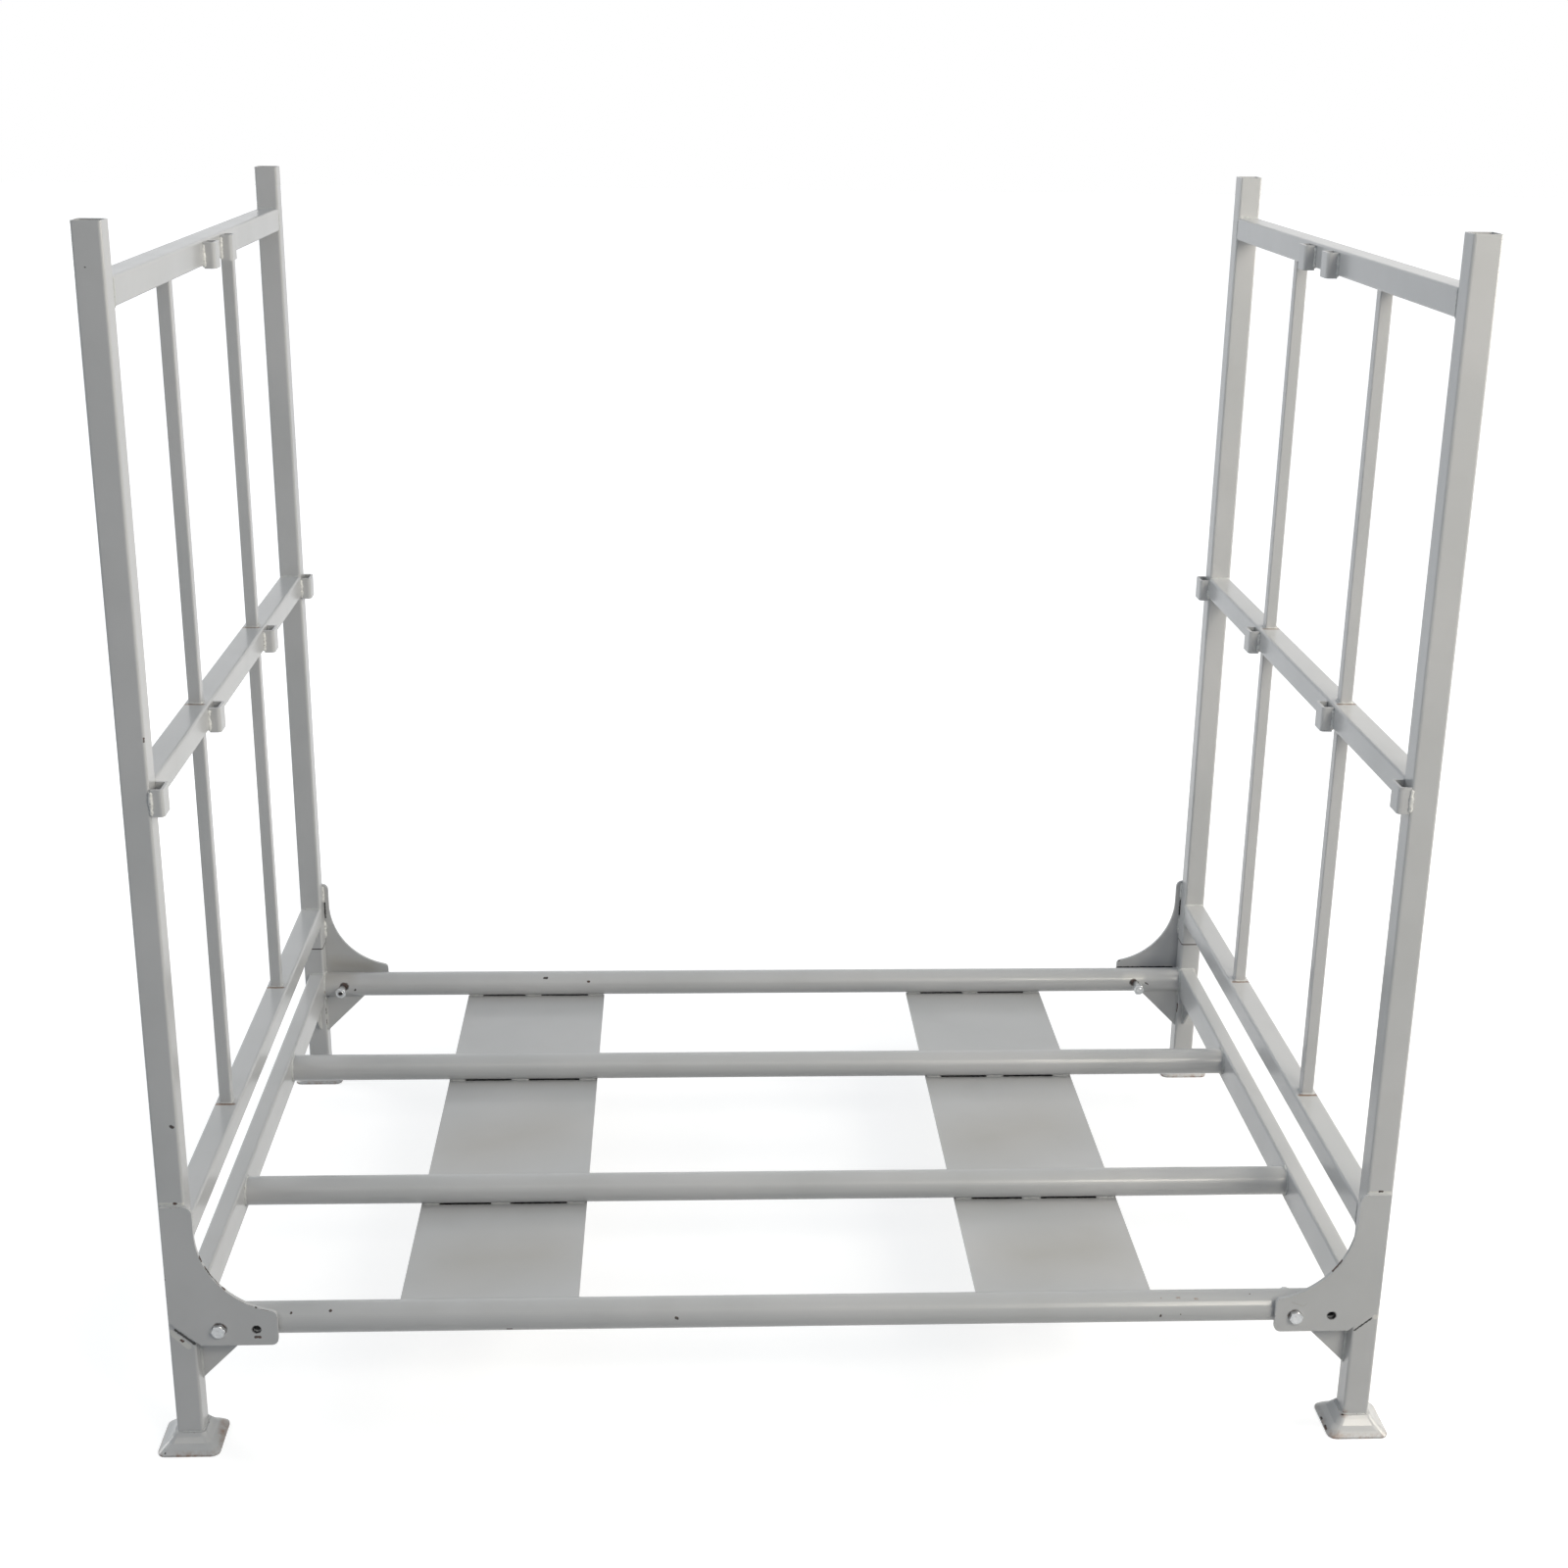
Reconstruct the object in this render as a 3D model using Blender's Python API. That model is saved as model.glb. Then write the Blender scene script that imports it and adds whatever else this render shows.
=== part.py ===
"""Folding pallet stacking rack: a tubular base on four bell feet, and two end frames that fold flat over it.

The rack stands on z = 0 with its origin between the feet. X runs along the cross tubes, Y from front to back.
Each end frame turns about the pivot bolts at its own end of the front and back cross tubes.
"""
import math

import bmesh
import bpy
from mathutils import Vector

# Driving dimensions in metres, overall first
RACK_WIDTH = 1.857
RACK_DEPTH = 1.304
RACK_HEIGHT = 1.837
SEAT_GAP = 0.0003

# Square tube of the legs, the uprights and the end frames' rails
POST_SIZE = 0.040
POST_WALL = 0.0025
POST_CORNER = 0.004
LEG_TOP_HEIGHT = 0.293
BOTTOM_RAIL_RISE = 0.088
MIDDLE_RAIL_TOP_HEIGHT = 1.074
SPIGOT_LENGTH = 0.073

# Thin square bars that fill the end frames
BAR_SIZE = 0.020
BAR_WALL = 0.002
BAR_CORNER = 0.002
BAR_SETBACK = 0.008
BAR_SPACING = 0.473

# Round cross tubes of the base
TUBE_DIAMETER = 0.0483
TUBE_WALL = 0.0026
TUBE_AXIS_HEIGHT = 0.210
TUBE_FACE_SETBACK = 0.004
MIDDLE_TUBE_SPACING = 0.468

# Rectangular side rails of the base
SIDE_RAIL_WIDTH = 0.030
SIDE_RAIL_HEIGHT = 0.060
SIDE_RAIL_RISE = 0.003

# Pressed bell feet, whose hollow takes the top of an upright of the rack below
FOOT_SIZE = 0.095
FOOT_HEIGHT = 0.027
FOOT_SHEET = 0.003
FOOT_LIP = 0.004
FOOT_LEDGE = 0.004
FOOT_CORNER = 0.013
FOOT_PROFILE_SHARES = ((1.0, 0.0), (0.72, 0.26), (0.42, 0.48), (0.16, 0.78), (0.0, 1.0))

# Triangular gussets and flat deck plates
TUBE_GUSSET_LEG = 0.080
RAIL_GUSSET_LEG = 0.065
GUSSET_THICKNESS = 0.004
DECK_PLATE_WIDTH = 0.280
DECK_PLATE_SPACING = 0.909
DECK_PLATE_THICKNESS = 0.004
DECK_PLATE_SETBACK = 0.004
DECK_PLATE_CORNER = 0.006

# Pivot plates: across from the upright's outer face, up from the pivot axis
PLATE_THICKNESS = 0.006
PLATE_OUTER_INSET = 0.004
PLATE_NECK_WIDTH = 0.0465
PLATE_NECK_CORNER = 0.012
PLATE_RISE = 0.209
PLATE_SWEEP_RISE = 0.1635
PLATE_SWEEP_RADIUS = 0.135
PLATE_REACH = 0.1655
PLATE_LOBE_TOP_CORNER = 0.009
PLATE_LOBE_BOTTOM_CORNER = 0.010
PLATE_DROP = 0.0272
PLATE_CUT_RISE = 0.0125
PLATE_CUT_REACH = 0.049
NEAR_HOLE_REACH = 0.0775
FAR_HOLE_REACH = 0.134

# Pivot bolts and nuts
BOLT_DIAMETER = 0.012
BOLT_HOLE_DIAMETER = 0.0135
BOLT_ACROSS_FLATS = 0.019
BOLT_HEAD_HEIGHT = 0.0075
BOLT_END_CHAMFER = 0.001
HEX_SHOULDER = 0.0004
NUT_HEIGHT = 0.010
BACK_LEFT_NUT_STANDOFF = 0.015
BACK_RIGHT_NUT_STANDOFF = 0.023
BOLT_END_BEYOND_NUT = 0.001
HEX_CHAMFER_SLOPE = math.tan(math.radians(30))
BOLT_HEAD_TURNS = tuple(math.radians(turn) for turn in (8, 22, 14, 3))

# Strip loops on the inside of the end frames' rails
LOOP_WIDTH = 0.040
LOOP_DEPTH = 0.018
LOOP_STRIP = 0.004
LOOP_HEIGHT = 0.040
LOOP_DROP = 0.004
LOOP_BEND = 0.006
TOP_LOOP_PLACES = (-0.037, 0.096)

# How finely round shapes are cut
CORNER_STEPS = 4
BAR_CORNER_STEPS = 2
TUBE_STEPS = 48
BOLT_STEPS = 24
SWEEP_STEPS = 18
CUT_OVERRUN = 0.010

# Places worked out from the sizes above
HALF_WIDTH = RACK_WIDTH / 2
HALF_DEPTH = RACK_DEPTH / 2
POST_X = HALF_WIDTH - POST_SIZE / 2
POST_Y = HALF_DEPTH - POST_SIZE / 2
POST_INNER_X = HALF_WIDTH - POST_SIZE
POST_INNER_Y = HALF_DEPTH - POST_SIZE
BOTTOM_RAIL_TOP_HEIGHT = LEG_TOP_HEIGHT + BOTTOM_RAIL_RISE
TOP_RAIL_TOP_HEIGHT = RACK_HEIGHT - SPIGOT_LENGTH
TUBE_RADIUS = TUBE_DIAMETER / 2
TUBE_UNDERSIDE = TUBE_AXIS_HEIGHT - TUBE_RADIUS
OUTER_TUBE_Y = HALF_DEPTH - TUBE_FACE_SETBACK - TUBE_RADIUS
MIDDLE_TUBE_Y = MIDDLE_TUBE_SPACING / 2
SIDE_RAIL_TOP = TUBE_AXIS_HEIGHT + TUBE_RADIUS + SIDE_RAIL_RISE
SIDE_RAIL_X = POST_INNER_X + SIDE_RAIL_WIDTH / 2
BAR_X = HALF_WIDTH - BAR_SETBACK - BAR_SIZE / 2
PLATE_INNER_Y = HALF_DEPTH + SEAT_GAP
PLATE_OUTER_Y = PLATE_INNER_Y + PLATE_THICKNESS
LEFT, RIGHT, FRONT, BACK = -1, 1, -1, 1
SIDES = (("left", LEFT), ("right", RIGHT))
ENDS = (("front", FRONT), ("back", BACK))
# The left frame turns about the plates' near holes and the right one about the far holes,
# so that the right frame comes to lie on top of the left one.
PIVOT_REACH = {LEFT: NEAR_HOLE_REACH, RIGHT: FAR_HOLE_REACH}
PIVOT_X = {side: side * (HALF_WIDTH - PIVOT_REACH[side]) for side in (LEFT, RIGHT)}
# The front nuts sit against the inner side of their tube, and the back ones stand off it.
NUT_STANDOFF = {
    (LEFT, FRONT): SEAT_GAP,
    (RIGHT, FRONT): SEAT_GAP,
    (LEFT, BACK): BACK_LEFT_NUT_STANDOFF,
    (RIGHT, BACK): BACK_RIGHT_NUT_STANDOFF,
}
NUT_SEAT_Y = {place: OUTER_TUBE_Y - TUBE_RADIUS - standoff for place, standoff in NUT_STANDOFF.items()}

# Finishes as linear colour, roughness and metallic
GREY_PAINT = ((0.39, 0.41, 0.41), 0.42, 0.0)
ZINC_PLATE = ((0.62, 0.63, 0.64), 0.35, 0.9)


def along_x(across, up, run):
    """A profile drawn across Y and up Z that runs along X."""
    return Vector((run, across, up))


def along_y(across, up, run):
    """A profile drawn across X and up Z that runs along Y."""
    return Vector((across, run, up))


def along_z(across, back, run):
    """A profile drawn across X and back along Y that runs up Z."""
    return Vector((across, back, run))


def arc(centre, radius, start, end, steps):
    """Points on an arc from one angle to another, in degrees."""
    points = []
    for step in range(steps + 1):
        angle = math.radians(start + (end - start) * step / steps)
        points.append((centre[0] + radius * math.cos(angle), centre[1] + radius * math.sin(angle)))
    return points


def circle(radius, steps):
    """Points round a circle, without repeating the first."""
    return arc((0, 0), radius, 0, 360, steps)[:-1]


def rounded_rectangle(width, height, corner, steps):
    """A rectangle about the origin with equal round corners."""
    across, up = width / 2 - corner, height / 2 - corner
    points = []
    for turn, (x, y) in enumerate(((across, up), (-across, up), (-across, -up), (across, -up))):
        points += arc((x, y), corner, 90 * turn, 90 * turn + 90, steps)
    return points


def ring(bm, points, to_world, run=0):
    """Vertices of one outline at one place along its run."""
    return [bm.verts.new(to_world(across, up, run)) for across, up in points]


def band(bm, first, second):
    """Quads between two rings of as many vertices."""
    count = len(first)
    for i in range(count):
        j = (i + 1) % count
        bm.faces.new((first[i], first[j], second[j], second[i]))


def hollow_profile(outer, inner, to_world, length):
    """A tube with open ends, from its outer and inner outlines."""
    bm = bmesh.new()
    outside, inside = ring(bm, outer, to_world), ring(bm, inner, to_world)
    band(bm, outside, inside)
    extrude_all(bm, to_world(0, 0, length))
    return bm


def flat_profile(outline, to_world, thickness):
    """A plate or strip, from its outline."""
    bm = bmesh.new()
    bm.faces.new(ring(bm, outline, to_world))
    extrude_all(bm, to_world(0, 0, thickness))
    return bm


def extrude_all(bm, offset):
    """Give the faces drawn so far a thickness."""
    swept = bmesh.ops.extrude_face_region(bm, geom=bm.faces[:])
    moved = [item for item in swept["geom"] if isinstance(item, bmesh.types.BMVert)]
    bmesh.ops.translate(bm, verts=moved, vec=offset)


def finish(name, finish_values):
    """The piece's own material."""
    colour, roughness, metallic = finish_values
    material = bpy.data.materials.new(name + "_finish")
    material.use_nodes = True
    shader = material.node_tree.nodes["Principled BSDF"]
    shader.inputs["Base Color"].default_value = (*colour, 1)
    shader.inputs["Roughness"].default_value = roughness
    shader.inputs["Metallic"].default_value = metallic
    return material


def add_piece(name, bm, place, carrier, finish_values=GREY_PAINT, smooth_angle=None):
    """Turn a mesh into a named object at its place in the rack, carried by the base or by a pivot."""
    bmesh.ops.recalc_face_normals(bm, faces=bm.faces[:])
    mesh = bpy.data.meshes.new(name)
    bm.to_mesh(mesh)
    bm.free()
    if smooth_angle:
        mesh.shade_smooth()
        mesh.set_sharp_from_angle(angle=smooth_angle)
    mesh.materials.append(finish(name, finish_values))
    piece = bpy.data.objects.new(name, mesh)
    bpy.context.scene.collection.objects.link(piece)
    piece.parent = carrier
    piece.location = Vector(place) - carrier.location
    return piece


def add_carrier(name, place):
    """An empty that pieces are parented to: the base's origin or a pivot axis."""
    carrier = bpy.data.objects.new(name, None)
    bpy.context.scene.collection.objects.link(carrier)
    carrier.location = place
    return carrier


def square_tube(size, wall, corner, steps, to_world, length, height=None):
    """Square or rectangular tube with rounded corners."""
    height = height or size
    inner_corner = max(corner - wall, corner / 2)
    outer = rounded_rectangle(size, height, corner, steps)
    inner = rounded_rectangle(size - 2 * wall, height - 2 * wall, inner_corner, steps)
    return hollow_profile(outer, inner, to_world, length)


def post_tube(to_world, length):
    """Tube of the legs, uprights and end frame rails."""
    return square_tube(POST_SIZE, POST_WALL, POST_CORNER, CORNER_STEPS, to_world, length)


def cross_drill(name, x, depth, carrier):
    """A drill along Y that stands for a hole through whatever uses it as a cutter."""
    bm = flat_profile(circle(BOLT_HOLE_DIAMETER / 2, BOLT_STEPS), along_y, depth)
    drill = add_piece(name, bm, (x, -depth / 2, TUBE_AXIS_HEIGHT), carrier)
    drill.hide_render = True
    drill.display_type = "WIRE"
    return drill


def drill_with(piece, drills):
    """Cut each drill's hole in the piece."""
    for drill in drills:
        cut = piece.modifiers.new(drill.name, "BOOLEAN")
        cut.operation = "DIFFERENCE"
        cut.solver = "EXACT"
        cut.object = drill


# Base: legs with their gussets, and feet
def foot_mesh():
    """Pressed bell foot: a flared square skirt with a flat roof that the leg stands on."""
    bm = bmesh.new()
    neck = POST_SIZE / 2 + FOOT_LEDGE
    neck_corner = POST_CORNER + FOOT_LEDGE
    rim = FOOT_SIZE / 2
    outer_rings = [(rim, 0, FOOT_CORNER)]
    inner_rings = []
    for flare, rise in FOOT_PROFILE_SHARES:
        corner = neck_corner + flare * (FOOT_CORNER - neck_corner)
        half = neck + flare * (rim - neck)
        outer_rings.append((half, FOOT_SHEET + rise * (FOOT_HEIGHT - FOOT_SHEET), corner))
        inner_half = neck - FOOT_SHEET + flare * (rim - FOOT_LIP - neck + FOOT_SHEET)
        inner_rings.append((inner_half, rise * (FOOT_HEIGHT - FOOT_SHEET), corner - FOOT_SHEET))
    rings = []
    for half, height, corner in reversed(outer_rings):
        rings.append(ring(bm, rounded_rectangle(2 * half, 2 * half, corner, CORNER_STEPS), along_z, height))
    for half, height, corner in inner_rings:
        rings.append(ring(bm, rounded_rectangle(2 * half, 2 * half, corner, CORNER_STEPS), along_z, height))
    for first, second in zip(rings, rings[1:]):
        band(bm, first, second)
    bm.faces.new(rings[0])
    bm.faces.new(rings[-1])
    return bm


def gusset(name, outline, to_world, place, base):
    """A triangular plate that stays hidden here, because it is welded on to a leg."""
    bm = flat_profile(outline, to_world, GUSSET_THICKNESS)
    plate = add_piece(name, bm, place, base)
    plate.hide_render = True
    plate.display_type = "WIRE"
    return plate


def add_gussets(corner_name, end, side, base):
    """The gusset under the cross tube and the one under the side rail, each let into the leg's wall."""
    weld_depth = POST_WALL / 2
    across, back = -side * weld_depth, -end * weld_depth
    outline = (
        (-across, 0),
        (-side * TUBE_GUSSET_LEG, 0),
        (0, -TUBE_GUSSET_LEG),
        (-across, -TUBE_GUSSET_LEG),
    )
    under_tube = gusset(
        f"tube_gusset_{corner_name}",
        outline,
        along_y,
        (side * POST_INNER_X, end * OUTER_TUBE_Y - GUSSET_THICKNESS / 2, TUBE_UNDERSIDE - SEAT_GAP),
        base,
    )
    outline = (
        (-back, 0),
        (-end * RAIL_GUSSET_LEG, 0),
        (0, -RAIL_GUSSET_LEG),
        (-back, -RAIL_GUSSET_LEG),
    )
    rail_underside = SIDE_RAIL_TOP - SIDE_RAIL_HEIGHT
    under_rail = gusset(
        f"rail_gusset_{corner_name}",
        outline,
        along_x,
        (side * SIDE_RAIL_X - GUSSET_THICKNESS / 2, end * POST_INNER_Y, rail_underside - SEAT_GAP),
        base,
    )
    return under_tube, under_rail


def add_legs(base):
    """Four short square legs, each on its foot and with its two gussets welded on."""
    bottom = FOOT_HEIGHT + SEAT_GAP
    for end_name, end in ENDS:
        for side_name, side in SIDES:
            corner_name = f"{end_name}_{side_name}"
            place = (side * POST_X, end * POST_Y, bottom)
            leg = add_piece(f"leg_{corner_name}", post_tube(along_z, LEG_TOP_HEIGHT - bottom), place, base)
            for plate in add_gussets(corner_name, end, side, base):
                weld = leg.modifiers.new(plate.name, "BOOLEAN")
                weld.operation = "UNION"
                weld.solver = "EXACT"
                weld.object = plate
            foot_place = (side * POST_X, end * POST_Y, 0)
            add_piece(f"foot_{corner_name}", foot_mesh(), foot_place, base, smooth_angle=math.radians(40))


# Base: cross tubes and side rails
def add_cross_tubes(base, drills):
    """Four round tubes that carry the load, the outer two drilled for the pivot bolts."""
    length = 2 * (POST_INNER_X - SEAT_GAP)
    places = (
        ("cross_tube_front", -OUTER_TUBE_Y, drills),
        ("cross_tube_front_middle", -MIDDLE_TUBE_Y, ()),
        ("cross_tube_back_middle", MIDDLE_TUBE_Y, ()),
        ("cross_tube_back", OUTER_TUBE_Y, drills),
    )
    for name, y, own_drills in places:
        outer, inner = circle(TUBE_RADIUS, TUBE_STEPS), circle(TUBE_RADIUS - TUBE_WALL, TUBE_STEPS)
        bm = hollow_profile(outer, inner, along_x, length)
        place = (-length / 2, y, TUBE_AXIS_HEIGHT)
        tube = add_piece(name, bm, place, base, smooth_angle=math.radians(30))
        drill_with(tube, own_drills)


def add_side_rails(base):
    """Two rectangular rails that join the legs at each side and carry the middle tubes."""
    length = 2 * (POST_INNER_Y - SEAT_GAP)
    for side_name, side in SIDES:
        bm = square_tube(
            SIDE_RAIL_WIDTH, POST_WALL, POST_CORNER, CORNER_STEPS, along_y, length, SIDE_RAIL_HEIGHT
        )
        place = (side * SIDE_RAIL_X, -length / 2, SIDE_RAIL_TOP - SIDE_RAIL_HEIGHT / 2)
        add_piece(f"side_rail_{side_name}", bm, place, base)


# Base: deck plates
def add_deck_plates(base):
    """Two long plates welded under the cross tubes, on which the forks lift the rack."""
    length = 2 * (OUTER_TUBE_Y - DECK_PLATE_SETBACK)
    outline = rounded_rectangle(DECK_PLATE_WIDTH, length, DECK_PLATE_CORNER, CORNER_STEPS)
    top = TUBE_UNDERSIDE - SEAT_GAP
    for side_name, side in SIDES:
        bm = flat_profile(outline, along_z, DECK_PLATE_THICKNESS)
        place = (side * DECK_PLATE_SPACING / 2, 0, top - DECK_PLATE_THICKNESS)
        add_piece(f"deck_plate_{side_name}", bm, place, base)


# Base: pivot bolts and nuts
def hexagon(turn):
    """Radius of a hexagon of the bolt's size across flats at an angle, and its points."""
    flat = BOLT_ACROSS_FLATS / 2
    points = []
    for step in range(BOLT_STEPS):
        angle = math.tau * step / BOLT_STEPS
        off_flat = (angle % math.radians(60)) - math.radians(30)
        points.append((flat / math.cos(off_flat), angle + turn))
    return points


def polar_ring(bm, points, run):
    """Vertices from radius and angle about a bolt's axis along Y; a run may differ at each point."""
    runs = run if isinstance(run, list) else [run] * len(points)
    return [
        bm.verts.new(along_y(radius * math.cos(angle), radius * math.sin(angle), at))
        for (radius, angle), at in zip(points, runs)
    ]


def round_points(radius, turn):
    """As many points as a hexagon has, on a circle."""
    return [(radius, math.tau * step / BOLT_STEPS + turn) for step in range(BOLT_STEPS)]


def chamfered_runs(points, face, outward):
    """Where a hexagon's sides end under the cone that takes off its corners."""
    flat = BOLT_ACROSS_FLATS / 2
    return [face - outward * (radius - flat) * HEX_CHAMFER_SLOPE for radius, angle in points]


def bolt_mesh(side, end, turn):
    """Hexagon head bolt, from outside the plate through the tube and past its nut."""
    bm = bmesh.new()
    seat = end * (PLATE_OUTER_Y + SEAT_GAP)
    top = seat + end * BOLT_HEAD_HEIGHT
    tip = end * (NUT_SEAT_Y[side, end] - NUT_HEIGHT - BOLT_END_BEYOND_NUT)
    hex_points = hexagon(turn)
    shank = round_points(BOLT_DIAMETER / 2, turn)
    tip_points = round_points(BOLT_DIAMETER / 2 - BOLT_END_CHAMFER, turn)
    crown = round_points(BOLT_ACROSS_FLATS / 2, turn)
    shoulder = top - end * HEX_SHOULDER
    rings = (
        polar_ring(bm, crown, top),
        polar_ring(bm, hex_points, chamfered_runs(hex_points, shoulder, end)),
        polar_ring(bm, hex_points, seat),
        polar_ring(bm, shank, seat),
        polar_ring(bm, shank, tip + end * BOLT_END_CHAMFER),
        polar_ring(bm, tip_points, tip),
    )
    for first, second in zip(rings, rings[1:]):
        band(bm, first, second)
    bm.faces.new(rings[0])
    bm.faces.new(rings[-1])
    return bm


def nut_mesh(side, end, turn):
    """Hexagon nut at the end of the bolt, on the inner side of the tube."""
    bm = bmesh.new()
    seat = end * NUT_SEAT_Y[side, end]
    top = seat - end * NUT_HEIGHT
    hex_points = hexagon(turn)
    crown = round_points(BOLT_ACROSS_FLATS / 2, turn)
    bore = round_points(BOLT_DIAMETER / 2 + SEAT_GAP, turn)
    rings = (
        polar_ring(bm, bore, seat),
        polar_ring(bm, crown, seat),
        polar_ring(bm, hex_points, chamfered_runs(hex_points, seat - end * HEX_SHOULDER, end)),
        polar_ring(bm, hex_points, chamfered_runs(hex_points, top + end * HEX_SHOULDER, -end)),
        polar_ring(bm, crown, top),
        polar_ring(bm, bore, top),
    )
    for first, second in zip(rings, rings[1:] + rings[:1]):
        band(bm, first, second)
    return bm


def add_pivot_fasteners(base):
    """A pivot bolt and its nut at each corner, both turned about the pivot axis."""
    corners = [(side_name, side, end_name, end) for side_name, side in SIDES for end_name, end in ENDS]
    for (side_name, side, end_name, end), turn in zip(corners, BOLT_HEAD_TURNS):
        corner_name = f"{end_name}_{side_name}"
        place = (PIVOT_X[side], 0, TUBE_AXIS_HEIGHT)
        sharp = math.radians(25)
        bolt, nut = bolt_mesh(side, end, turn), nut_mesh(side, end, -turn)
        add_piece(f"pivot_bolt_{corner_name}", bolt, place, base, ZINC_PLATE, sharp)
        add_piece(f"pivot_nut_{corner_name}", nut, place, base, ZINC_PLATE, sharp)


# End frames: uprights, rails and bars
def add_uprights(side_name, side, pivot):
    """Two uprights with open tops, resting on the legs when the frame stands."""
    bottom = LEG_TOP_HEIGHT + SEAT_GAP
    for end_name, end in ENDS:
        bm = post_tube(along_z, RACK_HEIGHT - bottom)
        place = (side * POST_X, end * POST_Y, bottom)
        add_piece(f"{side_name}_upright_{end_name}", bm, place, pivot)


def add_rails(side_name, side, pivot):
    """Three rails between the uprights."""
    length = 2 * (POST_INNER_Y - SEAT_GAP)
    heights = (
        ("bottom", BOTTOM_RAIL_TOP_HEIGHT),
        ("middle", MIDDLE_RAIL_TOP_HEIGHT),
        ("top", TOP_RAIL_TOP_HEIGHT),
    )
    for rail_name, top in heights:
        place = (side * POST_X, -length / 2, top - POST_SIZE / 2)
        add_piece(f"{side_name}_{rail_name}_rail", post_tube(along_y, length), place, pivot)


def add_bars(side_name, side, pivot):
    """Two bars below the middle rail and two above it."""
    spans = (
        ("lower", BOTTOM_RAIL_TOP_HEIGHT, MIDDLE_RAIL_TOP_HEIGHT - POST_SIZE),
        ("upper", MIDDLE_RAIL_TOP_HEIGHT, TOP_RAIL_TOP_HEIGHT - POST_SIZE),
    )
    for span_name, bottom, top in spans:
        for end_name, end in ENDS:
            length = top - bottom - 2 * SEAT_GAP
            bm = square_tube(BAR_SIZE, BAR_WALL, BAR_CORNER, BAR_CORNER_STEPS, along_z, length)
            place = (side * BAR_X, end * BAR_SPACING / 2, bottom + SEAT_GAP)
            add_piece(f"{side_name}_bar_{span_name}_{end_name}", bm, place, pivot)


# End frames: pivot plates
def plate_outline(side):
    """Outline of a pivot plate about its own pivot: a tall neck that sweeps down into a lobe."""
    neck = PLATE_OUTER_INSET + PLATE_NECK_WIDTH
    neck_centre = (neck - PLATE_NECK_CORNER, PLATE_RISE - PLATE_NECK_CORNER)
    sweep_centre = (neck + PLATE_SWEEP_RADIUS, PLATE_SWEEP_RISE)
    # The lobe's top corner is an arc that touches both the sweep and the plate's end edge.
    corner_x = PLATE_REACH - PLATE_LOBE_TOP_CORNER
    corner_away = PLATE_SWEEP_RADIUS + PLATE_LOBE_TOP_CORNER
    across = sweep_centre[0] - corner_x
    corner_y = PLATE_SWEEP_RISE - math.sqrt(corner_away**2 - across**2)
    meeting = math.degrees(math.atan2(corner_y - sweep_centre[1], corner_x - sweep_centre[0])) % 360
    bottom_centre = (PLATE_REACH - PLATE_LOBE_BOTTOM_CORNER, PLATE_LOBE_BOTTOM_CORNER - PLATE_DROP)
    points = [(PLATE_OUTER_INSET, PLATE_CUT_RISE), (PLATE_OUTER_INSET, PLATE_RISE)]
    points += arc(neck_centre, PLATE_NECK_CORNER, 90, 0, CORNER_STEPS)
    points += arc(sweep_centre, PLATE_SWEEP_RADIUS, 180, meeting, SWEEP_STEPS)
    points += arc((corner_x, corner_y), PLATE_LOBE_TOP_CORNER, meeting - 180, 0, CORNER_STEPS)[1:]
    points += arc(bottom_centre, PLATE_LOBE_BOTTOM_CORNER, 0, -90, CORNER_STEPS)
    points.append((PLATE_CUT_REACH, -PLATE_DROP))
    return [(side * (PIVOT_REACH[side] - reach), rise) for reach, rise in points]


def add_pivot_plates(side_name, side, pivot, drills):
    """A plate welded over the foot of each upright, drilled for either pivot place."""
    for end_name, end in ENDS:
        bm = flat_profile(plate_outline(side), along_y, PLATE_THICKNESS)
        y = PLATE_INNER_Y if end == BACK else -PLATE_OUTER_Y
        place = (PIVOT_X[side], y, TUBE_AXIS_HEIGHT)
        plate = add_piece(f"{side_name}_pivot_plate_{end_name}", bm, place, pivot)
        drill_with(plate, drills)


# End frames: strip loops
def loop_outline(side):
    """Plan of a loop: a strip bent into a U that opens towards the rail."""
    half = LOOP_WIDTH / 2
    inner_half = half - LOOP_STRIP
    inner_bend = LOOP_BEND - LOOP_STRIP
    outer = [(0, -half)]
    outer += arc((LOOP_DEPTH - LOOP_BEND, LOOP_BEND - half), LOOP_BEND, -90, 0, CORNER_STEPS)
    outer += arc((LOOP_DEPTH - LOOP_BEND, half - LOOP_BEND), LOOP_BEND, 0, 90, CORNER_STEPS)
    outer.append((0, half))
    inner = [(0, inner_half)]
    inner += arc((LOOP_DEPTH - LOOP_BEND, half - LOOP_BEND), inner_bend, 90, 0, CORNER_STEPS)
    inner += arc((LOOP_DEPTH - LOOP_BEND, LOOP_BEND - half), inner_bend, 0, -90, CORNER_STEPS)
    inner.append((0, -inner_half))
    return [(-side * reach, across) for reach, across in outer + inner]


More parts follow.
